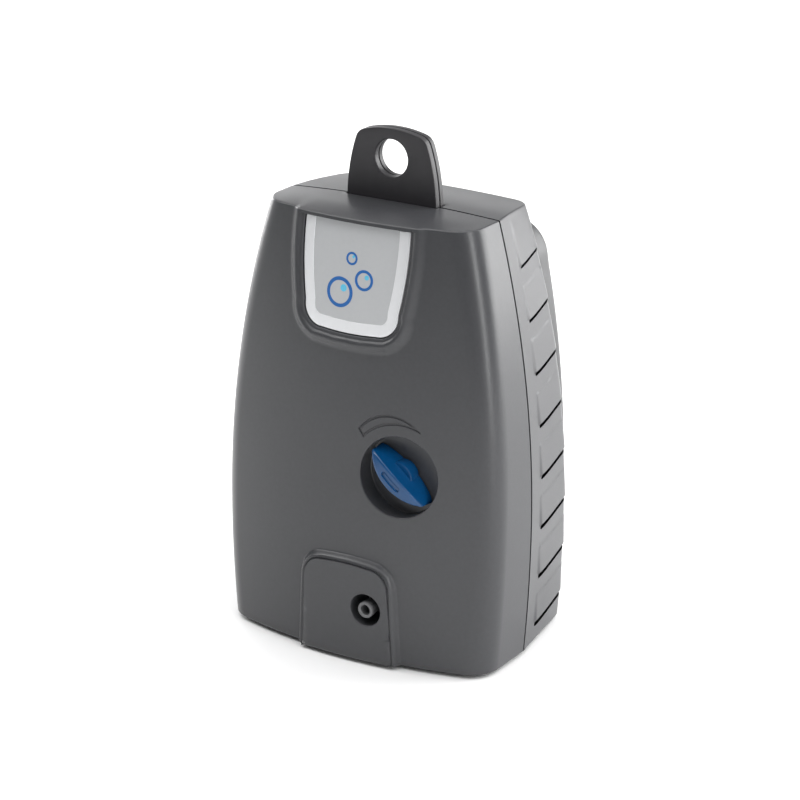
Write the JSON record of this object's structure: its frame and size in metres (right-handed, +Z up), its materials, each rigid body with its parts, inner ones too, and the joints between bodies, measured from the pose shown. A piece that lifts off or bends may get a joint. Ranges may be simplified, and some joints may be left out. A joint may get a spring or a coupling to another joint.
{
  "type": "aquarium air pump",
  "caption": "Upright diaphragm air pump in a barrel-fronted housing with side louvres, a turn knob for the flow, a hose nozzle and a hanging tab.",
  "frame": {"origin": "on the surface that the feet stand on, under the middle of the housing", "axes": "+X to the right as seen from the front, +Y to the rear, +Z up; the front with the knob faces -Y"},
  "size_m": [0.094, 0.0721, 0.153],
  "materials": {
    "housing_plastic": "satin",
    "cover_plastic": "satin",
    "knob_blue": "satin",
    "emblem_silver": "satin",
    "label_grey": "matte",
    "hanger_rubber": "satin",
    "foot_rubber": "matte",
    "nozzle_plastic": "satin",
    "white_plastic": "satin",
    "black_plastic": "satin",
    "hose_silicone": "satin",
    "filter_felt": "matte",
    "screw_steel": "satin",
    "lamination_steel": "matte",
    "copper_wire": "gloss",
    "magnet_ferrite": "matte",
    "spindle_brass": "satin",
    "lead_insulation": "satin"
  },
  "bodies": {
    "housing": {"front_shell": "housing_plastic", "rear_shell": "housing_plastic", "seam_gasket": "foot_rubber", "emblem_frame": "emblem_silver", "emblem_label": "label_grey", "hanger_tab": "hanger_rubber", "shell_screws": "screw_steel", "rubber_feet": "foot_rubber", "cable_gland": "foot_rubber", "filter_felt": "filter_felt", "valve_body": "white_plastic", "valve_screws": "screw_steel", "outlet_nozzle": "nozzle_plastic", "outlet_hose": "hose_silicone", "supply_hose": "hose_silicone", "pump_frame": "white_plastic", "isolator_grommets": "foot_rubber", "isolator_screws": "screw_steel", "stator_core": "lamination_steel", "core_bolts": "screw_steel", "coil_bobbin": "black_plastic", "coil_winding": "copper_wire", "coil_leads": "lead_insulation", "terminal_block": "white_plastic", "terminal_screws": "spindle_brass", "pivot_pin": "screw_steel", "diaphragm": "foot_rubber", "chamber_body": "black_plastic", "valve_plate": "white_plastic", "chamber_cap": "black_plastic", "chamber_screws": "screw_steel"},
    "flow_control": {"flow_knob": "knob_blue", "valve_spindle": "spindle_brass", "spindle_ring": "foot_rubber"},
    "armature": {"swing_arm": "white_plastic", "arm_bush": "foot_rubber", "arm_magnet": "magnet_ferrite", "diaphragm_washers": "screw_steel", "diaphragm_screw": "screw_steel"},
    "inlet_valve": {"inlet_flap": "foot_rubber"},
    "outlet_valve": {"outlet_flap": "foot_rubber"},
    "filter_cover": {"rear_cover": "cover_plastic"}
  },
  "joints": [
    {"name": "flow_turn", "type": "hinge", "parent": "housing", "child": "flow_control", "pos_m": [0.018, -0.026, 0.059], "axis": [0, 1, 0], "range_deg": [0, 75]},
    {"name": "arm_swing", "type": "hinge", "parent": "housing", "child": "armature", "pos_m": [0, 0.001, 0.103], "axis": [0, 1, 0], "range_deg": [-3, 3], "stiffness_Nm_per_rad": 0.4, "deforming": ["diaphragm"]},
    {"name": "inlet_lift", "type": "hinge", "parent": "housing", "child": "inlet_valve", "pos_m": [0.01395, 0.001, 0.0882], "axis": [0, 1, 0], "range_deg": [0, 7], "stiffness_Nm_per_rad": 0.0001},
    {"name": "outlet_lift", "type": "hinge", "parent": "housing", "child": "outlet_valve", "pos_m": [0.01605, 0.001, 0.0782], "axis": [0, -1, 0], "range_deg": [0, 10], "stiffness_Nm_per_rad": 0.0001},
    {"name": "cover_pull", "type": "slide", "parent": "housing", "child": "filter_cover", "axis": [0, 1, 0], "range_m": [0, 0.02]}
  ]
}
